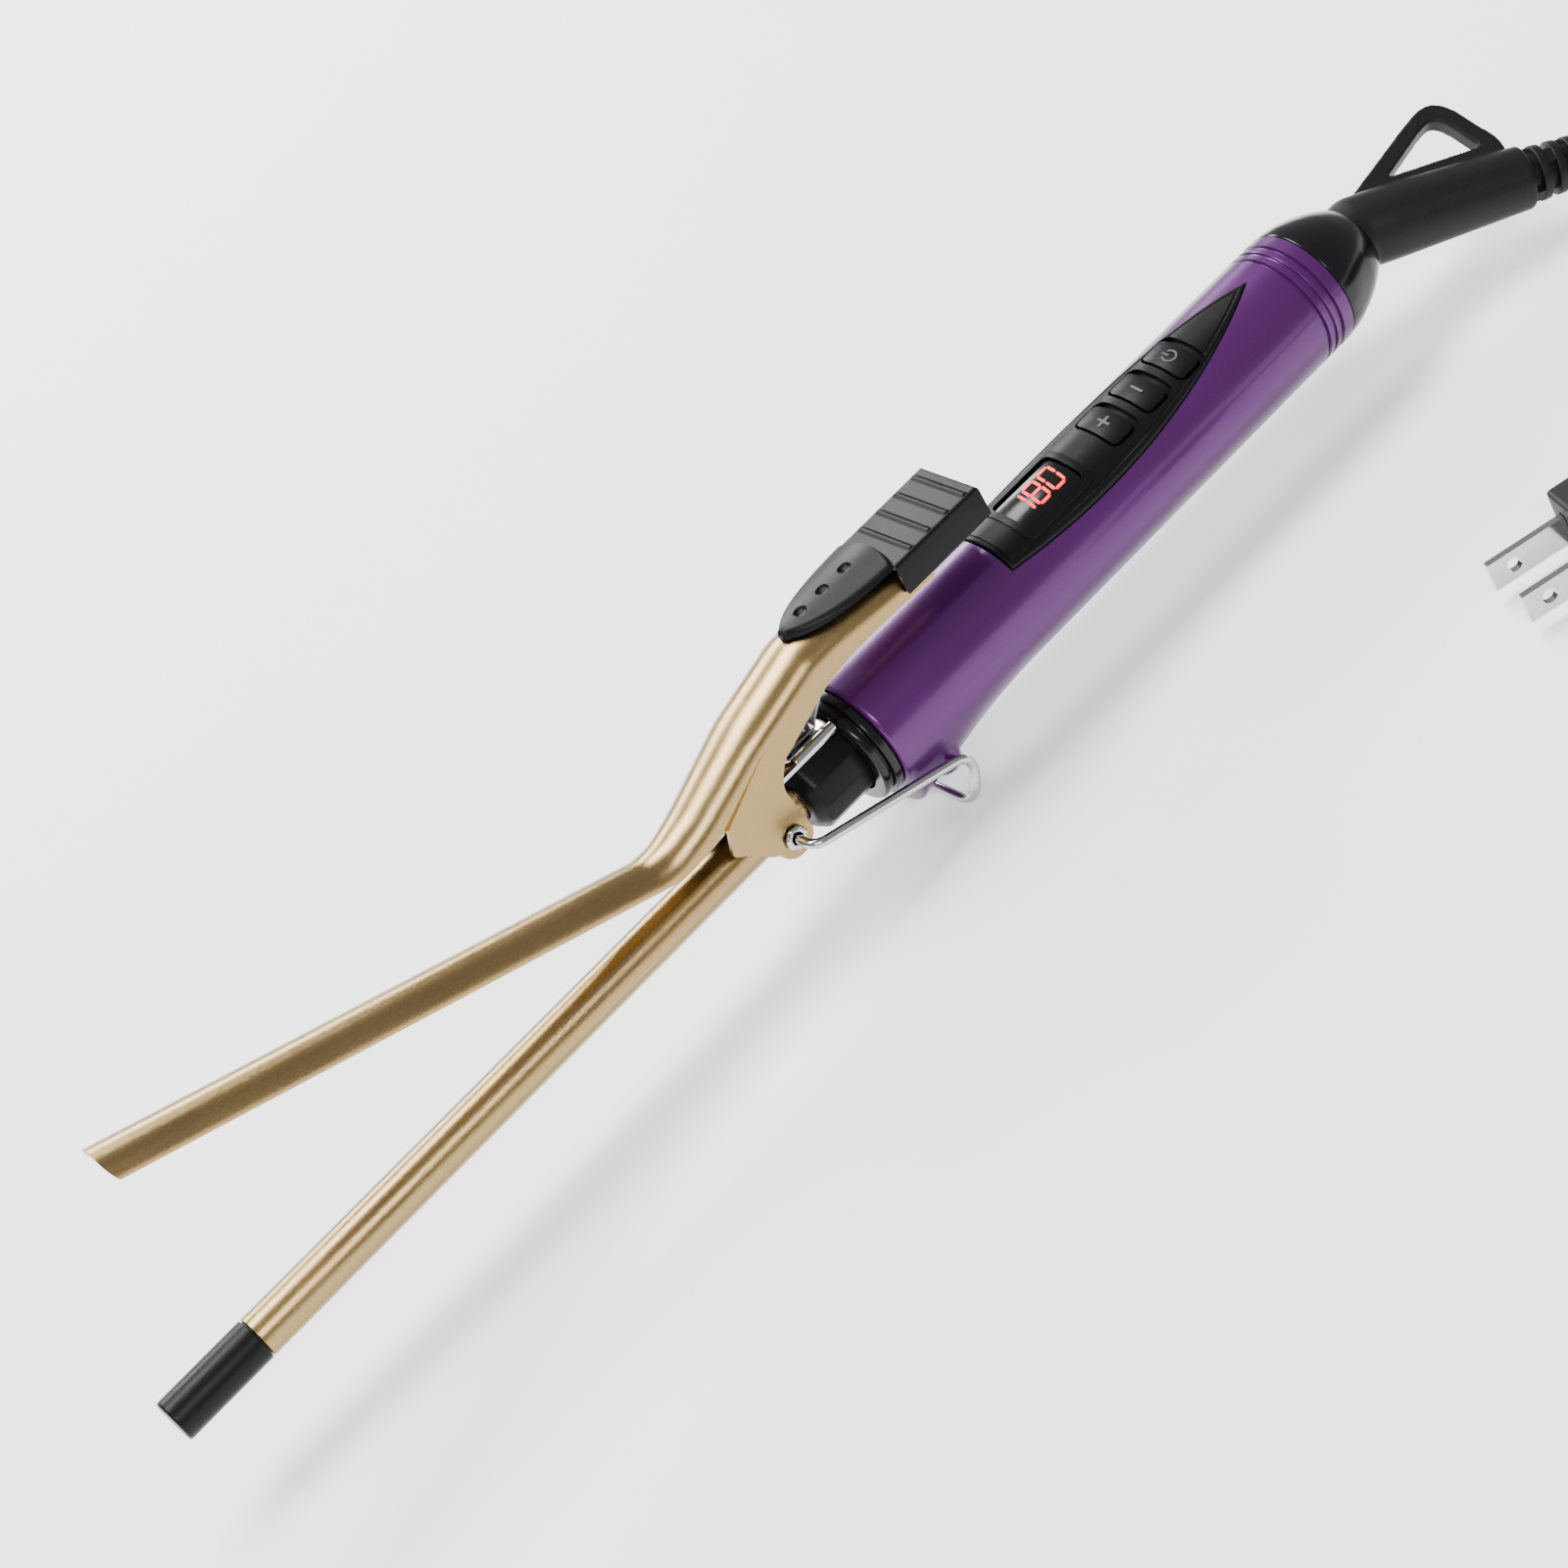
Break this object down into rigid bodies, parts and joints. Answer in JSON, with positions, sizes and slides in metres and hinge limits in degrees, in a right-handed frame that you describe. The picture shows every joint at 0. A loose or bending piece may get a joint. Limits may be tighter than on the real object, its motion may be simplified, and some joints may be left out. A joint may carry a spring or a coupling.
{
  "type": "curling iron",
  "caption": "Slim hair curling iron held open: thin round barrel with a sprung lever clip, wire stand, display and keys in the handle, and a swivelling lead with hanging loop.",
  "frame": {"origin": "middle of the flat end of the barrel's cool tip, on the barrel's axis", "axes": "+X along the barrel from the tip to the handle, +Z the side of the thumb lever, +Y to the left seen from above with the tip behind"},
  "size_m": [0.4627, 0.1502, 0.0784],
  "materials": {
    "gold_metal": "satin champagne-gold coating",
    "black_gloss": "glossy black",
    "black_satin": "fine satin black",
    "purple_satin": "satin metallic purple lacquer",
    "bright_steel": "polished",
    "spring_steel": "plain",
    "brass": "plain",
    "ceramic": "unglazed ceramic",
    "board_green": "solder mask",
    "wire_red": "insulated wire",
    "display_glass": "dark clear window",
    "cord_black": "soft satin black"
  },
  "bodies": {
    "root": {"tip_cap": "black_satin", "barrel_tube": "gold_metal", "heater_rod": "ceramic", "heater_lead_near": "wire_red", "heater_lead_far": "wire_red", "thermal_sensor": "ceramic", "neck_block": "black_satin", "collar_ring": "black_gloss", "hinge_bracket": "bright_steel", "bracket_screw": "bright_steel", "clip_spring": "spring_steel", "pivot_rivet_near": "bright_steel", "pivot_rivet_far": "bright_steel", "handle_sleeve": "purple_satin", "rear_cap": "black_gloss", "contact_carrier": "ceramic", "contact_brush_front": "brass", "contact_brush_rear": "brass", "control_panel": "black_gloss", "display_window": "display_glass", "display_module": "black_satin", "switch_plus": "black_satin", "switch_minus": "black_satin", "switch_power": "black_satin", "circuit_board": "board_green", "chassis_tray": "black_satin", "board_screw_front": "bright_steel", "board_screw_rear": "bright_steel", "smoothing_capacitor": "spring_steel"},
    "clip": {"clip": "gold_metal", "lever_cover": "black_satin"},
    "stand": {"kick_stand": "bright_steel"},
    "plus_key": {"button_plus": "black_satin"},
    "minus_key": {"button_minus": "black_satin"},
    "power_key": {"button_power": "black_satin"},
    "tail": {"swivel_sleeve": "black_satin", "swivel_retainer": "spring_steel", "contact_ring_front": "brass", "contact_ring_rear": "brass", "strain_relief": "cord_black", "cord_lead": "cord_black", "cord_coil": "cord_black", "cord_end": "cord_black", "cord_tie": "black_satin", "plug_body": "cord_black", "plug_blade_left": "bright_steel", "plug_blade_right": "bright_steel"}
  },
  "joints": [
    {"name": "clip_hinge", "type": "hinge", "parent": "root", "child": "clip", "pos_m": [0.1553, 0, -0.0007], "axis": [0, -1, 0], "range_deg": [-5, 19.8], "stiffness_Nm_per_rad": 0.3, "springref_deg": 34.38},
    {"name": "stand_hinge", "type": "hinge", "parent": "root", "child": "stand", "pos_m": [0.1553, 0, -0.0007], "axis": [0, 1, 0], "range_deg": [0, 95]},
    {"name": "plus_press", "type": "slide", "parent": "root", "child": "plus_key", "axis": [0, 0.2079, -0.9781], "range_m": [0, 0.0005], "stiffness_N_per_m": 100},
    {"name": "minus_press", "type": "slide", "parent": "root", "child": "minus_key", "axis": [0, 0.2079, -0.9781], "range_m": [0, 0.0005], "stiffness_N_per_m": 100},
    {"name": "power_press", "type": "slide", "parent": "root", "child": "power_key", "axis": [0, 0.2079, -0.9781], "range_m": [0, 0.0005], "stiffness_N_per_m": 100},
    {"name": "tail_swivel", "type": "hinge", "parent": "root", "child": "tail", "pos_m": [0.3309, 0, 0], "axis": [1, 0, 0], "continuous": true}
  ]
}
